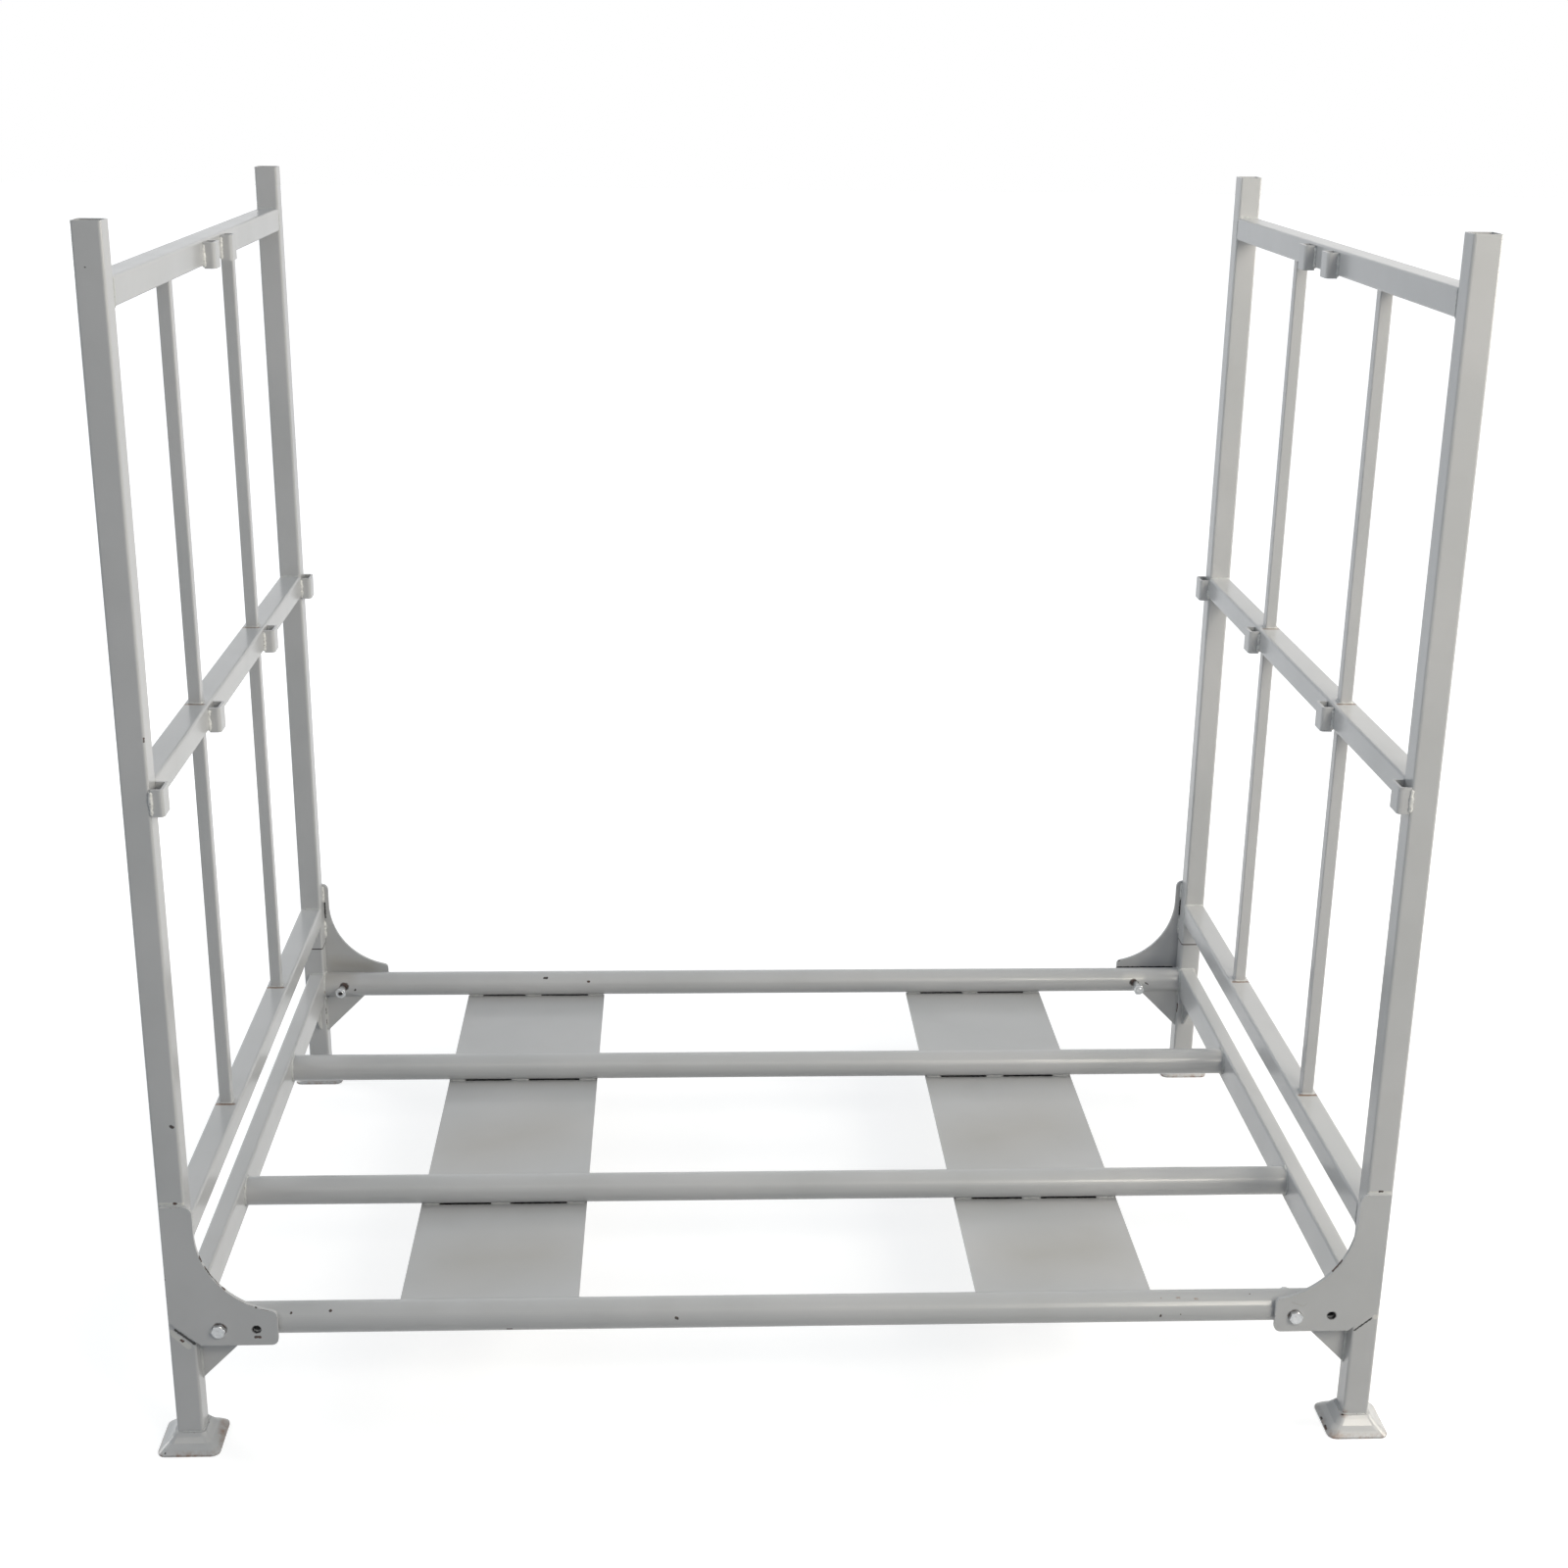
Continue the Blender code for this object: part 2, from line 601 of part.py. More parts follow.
def add_loops(side_name, side, pivot):
    """Four loops at the height of the middle rail and two at the top rail."""
    middle = MIDDLE_RAIL_TOP_HEIGHT - LOOP_DROP - LOOP_HEIGHT
    top = TOP_RAIL_TOP_HEIGHT - LOOP_DROP - LOOP_HEIGHT
    places = (
        ("middle_loop_1", -POST_Y, middle),
        ("middle_loop_2", -BAR_SPACING / 2, middle),
        ("middle_loop_3", BAR_SPACING / 2, middle),
        ("middle_loop_4", POST_Y, middle),
        ("top_loop_1", TOP_LOOP_PLACES[0], top),
        ("top_loop_2", TOP_LOOP_PLACES[1], top),
    )
    for loop_name, y, bottom in places:
        bm = flat_profile(loop_outline(side), along_z, LOOP_HEIGHT)
        place = (side * (POST_INNER_X - SEAT_GAP), y, bottom)
        add_piece(f"{side_name}_{loop_name}", bm, place, pivot, smooth_angle=math.radians(40))


def build_rack():
    """The base, then the two end frames on their pivot axes."""
    base = add_carrier("base_origin", (0, 0, 0))
    through = 2 * (PLATE_OUTER_Y + CUT_OVERRUN)
    used, spare = {}, {}
    for side_name, side in SIDES:
        spare_reach = FAR_HOLE_REACH if PIVOT_REACH[side] == NEAR_HOLE_REACH else NEAR_HOLE_REACH
        used[side] = cross_drill(f"{side_name}_pivot_drill", PIVOT_X[side], through, base)
        spare_x = side * (HALF_WIDTH - spare_reach)
        spare[side] = cross_drill(f"{side_name}_spare_drill", spare_x, through, base)
    add_legs(base)
    add_cross_tubes(base, (used[LEFT], used[RIGHT]))
    add_side_rails(base)
    add_deck_plates(base)
    add_pivot_fasteners(base)
    for side_name, side in SIDES:
        pivot = add_carrier(f"{side_name}_pivot_axis", (PIVOT_X[side], 0, TUBE_AXIS_HEIGHT))
        add_uprights(side_name, side, pivot)
        add_rails(side_name, side, pivot)
        add_bars(side_name, side, pivot)
        add_pivot_plates(side_name, side, pivot, (used[side], spare[side]))
        add_loops(side_name, side, pivot)


for leftover in list(bpy.data.objects):
    bpy.data.objects.remove(leftover, do_unlink=True)
build_rack()
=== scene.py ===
"""Looks of a folding pallet stacking rack: painted steel tube with its welds, wear and zinc bolts.

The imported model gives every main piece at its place. This script gives each one its paint, lays the
weld beads and small marks on them, and sets the floor, the lamps and the camera. Units are metres.
"""
import math
import random

import bpy
from mathutils import Matrix, Vector
from mathutils.noise import noise as noise_field


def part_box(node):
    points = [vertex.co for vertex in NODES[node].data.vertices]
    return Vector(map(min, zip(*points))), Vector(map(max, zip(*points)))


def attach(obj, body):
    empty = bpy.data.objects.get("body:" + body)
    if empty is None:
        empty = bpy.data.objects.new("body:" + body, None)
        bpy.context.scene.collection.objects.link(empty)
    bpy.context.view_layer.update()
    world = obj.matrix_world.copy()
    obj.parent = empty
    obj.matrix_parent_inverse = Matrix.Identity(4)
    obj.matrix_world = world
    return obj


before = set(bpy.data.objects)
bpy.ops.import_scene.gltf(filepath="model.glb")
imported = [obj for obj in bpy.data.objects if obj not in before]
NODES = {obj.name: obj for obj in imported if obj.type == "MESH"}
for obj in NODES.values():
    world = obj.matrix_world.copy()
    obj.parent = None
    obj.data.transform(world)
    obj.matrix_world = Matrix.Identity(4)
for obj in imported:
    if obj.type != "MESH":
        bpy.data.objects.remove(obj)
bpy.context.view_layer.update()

LEFT, RIGHT, FRONT, BACK = -1, 1, -1, 1
SIDES = (("left", LEFT), ("right", RIGHT))
ENDS = (("front", FRONT), ("back", BACK))
MILLIMETRE = 0.001
chance = random.Random(11)


# Places taken from the frame
def low(node):
    """Lowest corner of a CAD node."""
    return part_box(node)[0]


def high(node):
    """Highest corner of a CAD node."""
    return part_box(node)[1]


def middle(node):
    """Middle of a CAD node's box."""
    return (low(node) + high(node)) / 2


# Small tools for materials
MIX_FIRST, MIX_SECOND, MIX_RESULT = 6, 7, 2


def linear(hex_colour):
    """An sRGB hex colour as linear RGB with full alpha."""
    channels = [int(hex_colour[i:i + 2], 16) / 255 for i in (1, 3, 5)]
    return (*[c / 12.92 if c <= 0.04045 else ((c + 0.055) / 1.055) ** 2.4 for c in channels], 1)


def add_node(owner, kind, settings=None, inputs=None):
    """A shader node with its settings, each input given a value or linked from an output."""
    node = owner.node_tree.nodes.new(kind)
    for name, value in (settings or {}).items():
        setattr(node, name, value)
    for name, value in (inputs or {}).items():
        if isinstance(value, bpy.types.NodeSocket):
            owner.node_tree.links.new(value, node.inputs[name])
        else:
            node.inputs[name].default_value = value
    return node


def new_material(name):
    """An empty material with its main shader, and the place of each point in object coordinates."""
    material = bpy.data.materials.new(name)
    material.use_nodes = True
    material.node_tree.nodes.clear()
    shader = add_node(material, "ShaderNodeBsdfPrincipled")
    add_node(material, "ShaderNodeOutputMaterial", {}, {"Surface": shader.outputs["BSDF"]})
    return material, shader, add_node(material, "ShaderNodeTexCoord").outputs["Object"]


def join(material, output, shader, name):
    """Link an output to one of the shader's inputs."""
    material.node_tree.links.new(output, shader.inputs[name])


def share_between(material, value, low_end, high_end):
    """0 at one value and 1 at the other, with an even slope between them."""
    return add_node(
        material,
        "ShaderNodeMapRange",
        {"clamp": True},
        {"Value": value, "From Min": low_end, "From Max": high_end},
    ).outputs["Result"]


def spread(material, share, start, end):
    """A value that runs from start to end as the share runs from 0 to 1."""
    return add_node(
        material, "ShaderNodeMapRange", {}, {"Value": share, "To Min": start, "To Max": end}
    ).outputs["Result"]


def blend_colours(material, share, first, second):
    """One colour laid over another where the share is 1."""
    inputs = {0: share, MIX_FIRST: first, MIX_SECOND: second}
    return add_node(material, "ShaderNodeMix", {"data_type": "RGBA"}, inputs).outputs[MIX_RESULT]


def arithmetic(owner, operation, first, second=0.0):
    """One step of arithmetic."""
    return add_node(owner, "ShaderNodeMath", {"operation": operation}, {0: first, 1: second}).outputs[0]


def times(owner, first, second):
    """Two shares multiplied."""
    return arithmetic(owner, "MULTIPLY", first, second)


def either(owner, first, second):
    """The larger of two shares."""
    return arithmetic(owner, "MAXIMUM", first, second)


def vector_sum(material, operation, first, second, result="Vector"):
    """One step of vector arithmetic."""
    node = add_node(material, "ShaderNodeVectorMath", {"operation": operation}, {0: first, 1: second})
    return node.outputs[result]


def length_of(material, vector):
    """How long a vector is."""
    return add_node(material, "ShaderNodeVectorMath", {"operation": "LENGTH"}, {0: vector}).outputs["Value"]


def height_of(material, place):
    """The height of a place."""
    return add_node(material, "ShaderNodeSeparateXYZ", {}, {"Vector": place}).outputs["Z"]


def noise(material, place, size, detail=3, seed=0, rough=0.5):
    """A cloud pattern whose patches are about that size."""
    return add_node(
        material,
        "ShaderNodeTexNoise",
        {"noise_dimensions": "4D"},
        {"Vector": place, "W": seed, "Scale": 1 / size, "Detail": detail, "Roughness": rough},
    ).outputs["Fac"]


def relief(material, height, depth, strength, sunk=False, under=None):
    """The normals of a surface raised or sunk by a pattern, which can lie over another relief."""
    inputs = {"Strength": strength, "Distance": depth, "Height": height}
    if under is not None:
        inputs["Normal"] = under
    return add_node(material, "ShaderNodeBump", {"invert": sunk}, inputs).outputs["Normal"]


# Paint and metal
# Semi-gloss alkyd enamel sprayed over welded mild steel: an even pale grey with a slight orange peel,
# a little grime in patches, and chips that show dark mill scale. Each pair is the stretch of a cloud
# pattern over which its effect grows from nothing to full.
PAINT_LIGHT = "#C0C0C1"
PAINT_DULL = "#B8B9BA"
GRIME = "#94908A"
MILL_SCALE = "#2E2B2A"
RUST = "#8A654B"
RUST_DARK = "#4B3027"
TINT_PATCH = 260 * MILLIMETRE
TINT_RANGE = (0.35, 0.65)
GRIME_PATCH = 70 * MILLIMETRE
GRIME_RANGE = (0.50, 0.85)
GRIME_STRENGTH = 0.12
# Thin curls showed on flat faces with a lower end of 0.27, and none with this one. Why isn't known.
PAINT_ROUGHNESS = (0.285, 0.35)
SHEEN_RANGE = (0.3, 0.7)
CLEAR_LAYER = 0.35
CLEAR_LAYER_ROUGHNESS = 0.12
ORANGE_PEEL = 3 * MILLIMETRE
ORANGE_PEEL_HEIGHT = 0.02 * MILLIMETRE
ORANGE_PEEL_STRENGTH = 0.6
CHIP_GRAIN = 9 * MILLIMETRE
CHIP_RANGE = (0.68, 0.71)
CHIP_DEPTH = 0.15 * MILLIMETRE
CHIP_STRENGTH = 0.5
CHIP_ROUGHNESS = 0.65
STEEL_RANGE = (0.45, 0.6)
EDGE_WIDTH = 1.6 * MILLIMETRE
EDGE_LEAN = (0.985, 0.90)
RIM_HEIGHT = 9 * MILLIMETRE
RIM_RANGE = (0.44, 0.62)
RIM_STRENGTH = 0.8
SEAM_WIDTH = 1.4 * MILLIMETRE
MARK_GRAIN = 4 * MILLIMETRE
MARK_WANDER = 4 * MILLIMETRE
NOISE_MIDDLE = (0.5, 0.5, 0.5)
STAIN_GRAIN = 9 * MILLIMETRE
STAIN_RANGE = (0.34, 0.62)
COARSE = 0.7

# Kinds of mark: colour, how soft the rim is, and how strong the mark is
MARK_KINDS = {
    "dust": ("#9D968A", 0.95, 0.38),
    "pale": ("#D3D2CE", 0.30, 0.9),
    "thin": ("#D0CFCB", 0.95, 0.8),
    "rust": (RUST, 0.85, 0.85),
    "stain": ("#775A46", 0.60, 0.95),
    "bare": (MILL_SCALE, 0.35, 1.0),
    # Near black painted shade, laid in open holes and in the gaps between pieces
    "painted_shade": ("#141415", 0.30, 1.0),
}


def near_line(material, place, start, end, radius, soft):
    """1 within a radius of the line between two points, fading out over its rim."""
    along = end - start
    offset = vector_sum(material, "SUBTRACT", place, start)
    if along.length > MILLIMETRE:
        travelled = vector_sum(material, "DOT_PRODUCT", offset, along / along.length_squared, "Value")
        share = share_between(material, travelled, 0, 1)
        nearest = add_node(
            material, "ShaderNodeVectorMath", {"operation": "SCALE"}, {0: along, "Scale": share}
        ).outputs["Vector"]
        offset = vector_sum(material, "SUBTRACT", offset, nearest)
    return share_between(material, length_of(material, offset), radius, radius * (1 - soft))


def ragged_place(material, place):
    """Object coordinates that wander by a few tenths of a millimetre, so that no mark is a true circle."""
    shift = add_node(
        material,
        "ShaderNodeTexNoise",
        {},
        {"Vector": place, "Scale": 1 / MARK_GRAIN, "Detail": 3, "Roughness": COARSE},
    )
    centred = vector_sum(material, "SUBTRACT", shift.outputs["Color"], NOISE_MIDDLE)
    node = add_node(
        material,
        "ShaderNodeVectorMath",
        {"operation": "MULTIPLY_ADD"},
        {0: centred, 1: (MARK_WANDER,) * 3, 2: place},
    )
    return node.outputs["Vector"]


def lay_marks(material, place, colour, marks):
    """Lay worn places, stains, chips and painted shade in holes and gaps over a colour. Also gives the share
    of bare steel.
    """
    bare = 0.0
    if not marks:
        return colour, bare
    wandering = ragged_place(material, place)
    clouds = noise(material, place, STAIN_GRAIN, detail=4, seed=3, rough=COARSE)
    patchy = share_between(material, clouds, *STAIN_RANGE)
    for kind, (shade, soft, strength) in MARK_KINDS.items():
        share = None
        for _, start, end, radius in (mark for mark in marks if mark[0] == kind):
            start, end = Vector(start) * MILLIMETRE, Vector(end) * MILLIMETRE
            spot = near_line(material, wandering, start, end, radius * MILLIMETRE, soft)
            share = spot if share is None else either(material, share, spot)
        if share is None:
            continue
        if kind == "rust":
            share = times(material, share, patchy)
        colour = blend_colours(material, times(material, share, strength), colour, linear(shade))
        if kind == "bare":
            bare = share
    return colour, bare


def edge_share(material):
    """1 on an outer edge, from how far the rounded normal leans from the true one."""
    rounded = add_node(material, "ShaderNodeBevel", {"samples": 4}, {"Radius": EDGE_WIDTH}).outputs["Normal"]
    true = add_node(material, "ShaderNodeNewGeometry").outputs["Normal"]
    return share_between(material, vector_sum(material, "DOT_PRODUCT", rounded, true, "Value"), *EDGE_LEAN)


def paint(name, seed, chips=0.0, marks=(), rust_below=None, seam=None):
    """Grey enamel on steel, with the piece's own marks. Chips is how much of its edges is worn off."""
    material, shader, place = new_material(name)
    clouds = noise(material, place, TINT_PATCH, detail=2, seed=seed)
    tint = share_between(material, clouds, *TINT_RANGE)
    colour = blend_colours(material, tint, linear(PAINT_LIGHT), linear(PAINT_DULL))
    clouds = noise(material, place, GRIME_PATCH, detail=4, seed=seed + 3)
    dirt = times(material, share_between(material, clouds, *GRIME_RANGE), GRIME_STRENGTH)
    colour = blend_colours(material, dirt, colour, linear(GRIME))
    ragged = noise(material, place, CHIP_GRAIN, detail=4, seed=seed + 7, rough=COARSE)
    if rust_below:
        bottom, top = rust_below
        rim = share_between(material, height_of(material, place), top, bottom)
        rim = times(material, rim, share_between(material, ragged, *RIM_RANGE))
        colour = blend_colours(material, times(material, rim, RIM_STRENGTH), colour, linear(RUST))
    colour, bare = lay_marks(material, place, colour, marks)
    if chips:
        torn = share_between(material, ragged, *(bound - chips for bound in CHIP_RANGE))
        bare = either(material, bare, times(material, edge_share(material), torn))
    if seam is not None:
        away = arithmetic(material, "SUBTRACT", height_of(material, place), seam)
        away = arithmetic(material, "ABSOLUTE", away)
        bare = either(material, bare, share_between(material, away, SEAM_WIDTH, SEAM_WIDTH / 2))
    rusty = share_between(material, ragged, *STEEL_RANGE)
    steel = blend_colours(material, rusty, linear(MILL_SCALE), linear(RUST_DARK))
    join(material, blend_colours(material, bare, colour, steel), shader, "Base Color")

    clouds = noise(material, place, GRIME_PATCH, detail=4, seed=seed + 9)
    sheen = spread(material, share_between(material, clouds, *SHEEN_RANGE), *PAINT_ROUGHNESS)
    join(material, spread(material, bare, sheen, CHIP_ROUGHNESS), shader, "Roughness")
    shader.inputs["Coat Weight"].default_value = CLEAR_LAYER
    shader.inputs["Coat Roughness"].default_value = CLEAR_LAYER_ROUGHNESS
    clouds = noise(material, place, ORANGE_PEEL, detail=2, seed=seed + 11)
    peel = relief(material, clouds, ORANGE_PEEL_HEIGHT, ORANGE_PEEL_STRENGTH)
    chipped = relief(material, bare, CHIP_DEPTH, CHIP_STRENGTH, sunk=True, under=peel)
    join(material, chipped, shader, "Normal")
    return material


# Bright zinc plate
ZINC_LIGHT = "#D2D4D6"
ZINC_DULL = "#B4B7BA"
ZINC_PATCH = 6 * MILLIMETRE
ZINC_RANGE = (0.3, 0.7)
ZINC_STAIN = 4 * MILLIMETRE
ZINC_STAIN_RANGE = (0.60, 0.72)
ZINC_STAIN_STRENGTH = 0.5
ZINC_METAL = 0.75
ZINC_ROUGHNESS = (0.28, 0.45)
ZINC_GRAIN = 0.8 * MILLIMETRE
ZINC_GRAIN_HEIGHT = 0.05 * MILLIMETRE
ZINC_GRAIN_STRENGTH = 0.4


def zinc(name, seed, marks=()):
    """Bright zinc plate on a bolt: a pale blue-white metal, dulled by handling, brown in its roots."""
    material, shader, place = new_material(name)
    clouds = noise(material, place, ZINC_PATCH, detail=4, seed=seed, rough=0.6)
    cloud = share_between(material, clouds, *ZINC_RANGE)
    colour = blend_colours(material, cloud, linear(ZINC_LIGHT), linear(ZINC_DULL))
    clouds = noise(material, place, ZINC_STAIN, seed=seed + 2, rough=COARSE)
    brown = times(material, share_between(material, clouds, *ZINC_STAIN_RANGE), ZINC_STAIN_STRENGTH)
    colour = blend_colours(material, brown, colour, linear(RUST))
    colour, _ = lay_marks(material, place, colour, marks)
    join(material, colour, shader, "Base Color")
    shader.inputs["Metallic"].default_value = ZINC_METAL
    join(material, spread(material, cloud, *ZINC_ROUGHNESS), shader, "Roughness")
    grain = noise(material, place, ZINC_GRAIN, seed=seed + 4)
    join(material, relief(material, grain, ZINC_GRAIN_HEIGHT, ZINC_GRAIN_STRENGTH), shader, "Normal")
    return material


# Painted arc weld
WELD_PAINT = "#C8CAC8"
# Near white: a painted highlight standing in for the sparkle of spatter on the beads
WELD_PAINTED_HIGHLIGHT = "#F2F2EE"
WELD_GRAIN = 6 * MILLIMETRE
WELD_RANGE = (0.3, 0.7)
WELD_BURN = 14 * MILLIMETRE
WELD_BURN_RANGE = (0.60, 0.70)
WELD_PIT = 5 * MILLIMETRE
WELD_PIT_RANGE = (0.66, 0.70)
WELD_ROUGHNESS = 0.34
WELD_HEIGHT = 0.4 * MILLIMETRE
WELD_STRENGTH = 0.8


def painted_weld(name, seed, grime=0.5, pale=WELD_PAINT):
    """Arc weld bead under the same enamel: the paint pools thin on it, so it is lumpier and glossier."""
    material, shader, place = new_material(name)
    ragged = noise(material, place, WELD_GRAIN, detail=4, seed=seed, rough=0.65)
    tint = share_between(material, ragged, *WELD_RANGE)
    colour = blend_colours(material, tint, linear(pale), linear(PAINT_DULL))
    clouds = noise(material, place, WELD_BURN, detail=5, seed=seed + 2, rough=COARSE)
    burnt = times(material, share_between(material, clouds, *WELD_BURN_RANGE), grime)
    colour = blend_colours(material, burnt, colour, linear(RUST))
    clouds = noise(material, place, WELD_PIT, seed=seed + 4, rough=COARSE)
    pits = share_between(material, clouds, *WELD_PIT_RANGE)
    join(material, blend_colours(material, pits, colour, linear(MILL_SCALE)), shader, "Base Color")
    shader.inputs["Roughness"].default_value = WELD_ROUGHNESS
    join(material, relief(material, ragged, WELD_HEIGHT, WELD_STRENGTH), shader, "Normal")
    return material


def set_finish(piece, material):
    """Give a piece its one material."""
    piece.data.materials.clear()
    piece.data.materials.append(material)


# Marks seen on each piece, as a kind, the two ends of its line and its radius, all in millimetres
MARKS = {
    "left_pivot_plate_front": (
        ("bare", (-872, -655, 334), (-869, -655, 328), 3.2),
        ("bare", (-866, -655, 316), (-846, -655, 289), 2.6),
        ("bare", (-841, -655, 281), (-839, -655, 279), 2.8),
        ("bare", (-793, -658, 249), (-793, -658, 249), 2.3),
        ("bare", (-797, -658, 197), (-791, -658, 197), 2.8),
        # Painted shade in the empty spare hole
        ("painted_shade", (-795, -655, 210), (-794, -655, 210), 8.8),
        ("bare", (-927, -656, 301), (-927, -656, 296), 3.4),
        # Dark ring round the bolt head: painted shadow of the head, partly rust
        ("bare", (-851, -658, 212), (-849, -658, 211), 11.2),
        ("pale", (-865, -658, 208), (-861, -658, 207), 2.6),
    ),
    "right_pivot_plate_front": (
        ("bare", (847, -655, 288), (859, -655, 304), 3.0),
        # Dark crescent round the bolt head: painted shadow of the head
        ("bare", (793, -658, 212), (792, -658, 211), 10.8),
        # Painted shade in the empty spare hole
        ("painted_shade", (851, -655, 210), (852, -655, 210), 8.8),
        ("dust", (787, -658, 235), (806, -658, 227), 1.6),
        ("dust", (806, -658, 227), (811, -658, 232), 1.4),
    ),
    "left_pivot_plate_back": (
        # Painted shade in the slot between the stitch welds
        ("painted_shade", (-886, 652, 346), (-886, 652, 379), 1.7),
        ("dust", (-870, 652, 245), (-800, 652, 238), 24.0),
        ("bare", (-812, 655, 246), (-798, 655, 243), 1.4),
    ),
    "right_pivot_plate_back": (
        # Painted shade in the slot between the stitch welds
        ("painted_shade", (888, 652, 344), (888, 652, 376), 1.7),
        ("bare", (765, 652, 240), (772, 652, 245), 3.0),
        ("bare", (822, 655, 262), (828, 655, 267), 1.6),
        # Painted shade where the plate meets the top of the tube
        ("painted_shade", (765, 652, 224), (880, 652, 224), 3.4),
    ),
    "leg_front_left": (
        ("pale", (-925, -652, 203), (-900, -652, 177), 5.0),
        # Painted shadow in the gap under the pivot plate's cut corner
        ("painted_shade", (-918, -652, 207), (-888, -652, 180), 2.4),
        ("bare", (-910, -652, 189), (-908, -652, 187), 2.6),
    ),
    "leg_front_right": (
        ("pale", (922, -652, 203), (923, -652, 202), 4.4),
        # Painted shadow in the gap under the pivot plate's cut corner
        ("painted_shade", (892, -652, 179), (916, -652, 200), 1.7),
        ("rust", (889, -652, 31), (892, -652, 30), 6.0),
        ("bare", (888, -652, 29), (889, -652, 29), 2.4),
    ),
    "leg_back_left": (
        ("bare", (-888, 614, 158), (-888, 614, 148), 2.0),
        ("bare", (-888, 614, 132), (-888, 614, 124), 1.8),
        ("bare", (-886, 622, 186), (-884, 622, 185), 3.2),
    ),
    "leg_back_right": (
        ("bare", (889, 614, 186), (887, 614, 185), 2.6),
        ("bare", (889, 614, 158), (889, 614, 140), 1.6),
    ),
    "foot_front_left": (
        ("rust", (-866, -598, 12), (-862, -646, 7), 11.0),
        ("bare", (-943, -676, 5), (-942, -676, 5), 1.8),
        ("rust", (-925, -679, 2), (-880, -679, 2), 3.0),
    ),
    "foot_front_right": (
        ("rust", (868, -673, 4), (876, -676, 4), 10.0),
        ("bare", (862, -628, 4), (863, -632, 4), 2.6),
        ("bare", (862, -650, 4), (862, -658, 4), 2.6),
        ("rust", (889, -654, 28), (890, -654, 27), 7.0),
        ("bare", (887, -653, 27), (888, -653, 27), 2.2),
    ),
    "left_upright_front": (
        ("bare", (-889, -652, 1145), (-889, -652, 1141), 2.4),
        ("bare", (-898, -652, 550), (-896, -652, 549), 3.0),
        ("bare", (-913, -652, 1779), (-913, -652, 1778), 1.2),
        ("pale", (-925, -652, 422), (-890, -652, 422), 3.0),
        ("bare", (-904, -652, 423), (-901, -652, 423), 2.0),
        ("bare", (-920, -652, 418), (-919, -652, 418), 1.4),
    ),
    "right_upright_front": (
        ("pale", (892, -652, 421), (924, -652, 421), 2.0),
        ("bare", (907, -652, 422), (911, -652, 422), 2.0),
    ),
    "cross_tube_front": (
        ("bare", (-745, -641, 227), (-745, -641, 227), 2.4),
        ("bare", (-686, -639, 229), (-685, -639, 229), 2.7),
        ("bare", (-418, -643, 196), (-413, -643, 196), 2.8),
        ("bare", (-161, -648, 214), (-159, -648, 213), 2.6),
        ("rust", (589, -636, 231), (589, -636, 231), 2.2),
        ("rust", (613, -636, 231), (617, -636, 231), 2.6),
        ("rust", (641, -638, 230), (645, -638, 230), 2.8),
        ("bare", (587, -648, 208), (587, -648, 205), 1.8),
        ("bare", (618, -648, 209), (618, -648, 209), 1.2),
        ("bare", (728, -631, 233), (728, -631, 233), 1.2),
        # Painted shade where the tube shows through the spare holes of the pivot plates
        ("painted_shade", (-795, -648, 210), (-794, -648, 210), 10.0),
        ("painted_shade", (851, -648, 210), (852, -648, 210), 10.0),
    ),
    "cross_tube_back": (
        ("bare", (-437, 607, 228), (-432, 607, 228), 3.0),
        ("bare", (-347, 603, 221), (-345, 603, 221), 2.8),
        ("bare", (-848, 600, 214), (-846, 600, 214), 9.5),
        ("bare", (-826, 601, 206), (-824, 601, 208), 2.2),
        ("bare", (788, 600, 213), (790, 600, 214), 7.8),
        ("thin", (776, 602, 225), (806, 602, 222), 14.0),
        ("bare", (815, 600, 212), (820, 600, 209), 1.6),
        ("dust", (-880, 612, 230), (-840, 612, 232), 26.0),
        # Painted shade where the tube shows through the spare holes of the pivot plates
        ("painted_shade", (-795, 648, 210), (-794, 648, 210), 10.0),
        ("painted_shade", (851, 648, 210), (852, 648, 210), 10.0),
    ),
    "pivot_bolt_back_left": (("bare", (-851, 573, 210), (-851, 574, 210), 5.4),),
}


# Paint on the CAD pieces
FEET = [f"foot_{end}_{side}" for end, _ in ENDS for side, _ in SIDES]
TUBES = ("cross_tube_front", "cross_tube_front_middle", "cross_tube_back_middle", "cross_tube_back")
# How much of its edges a piece has lost
CHIPS = {"side_rail": 0.04, "foot": 0.12, "leg": 0.05, "plate": 0.09, "loop": 0.07, "frame": 0.03}
# Each family of pieces counts its seeds from here
FIRST_SEED = {"nut": 10, "side_rail": 20, "deck_plate": 24, "foot": 30, "leg": 40, "frame": 50}
# The gaps beside a deck plate's stitches, painted as dark shade: as shares of its width, and their place and
# size in millimetres
GAP_SHADE_SHARES = ((0.118, 0.413), (0.544, 0.872))
GAP_SHADE_PLACE = 8.5
GAP_SHADE_RADIUS = 3.3
# Dust on a deck plate, in millimetres: the ends of its line from the plate's middle, and its radius
DUST_LINES = (((-60, -30), (50, 20), 150), ((-40, -430), (70, -410), 120))
STAIN_PLACE = 3.5
STAIN_RADIUS = 5.0


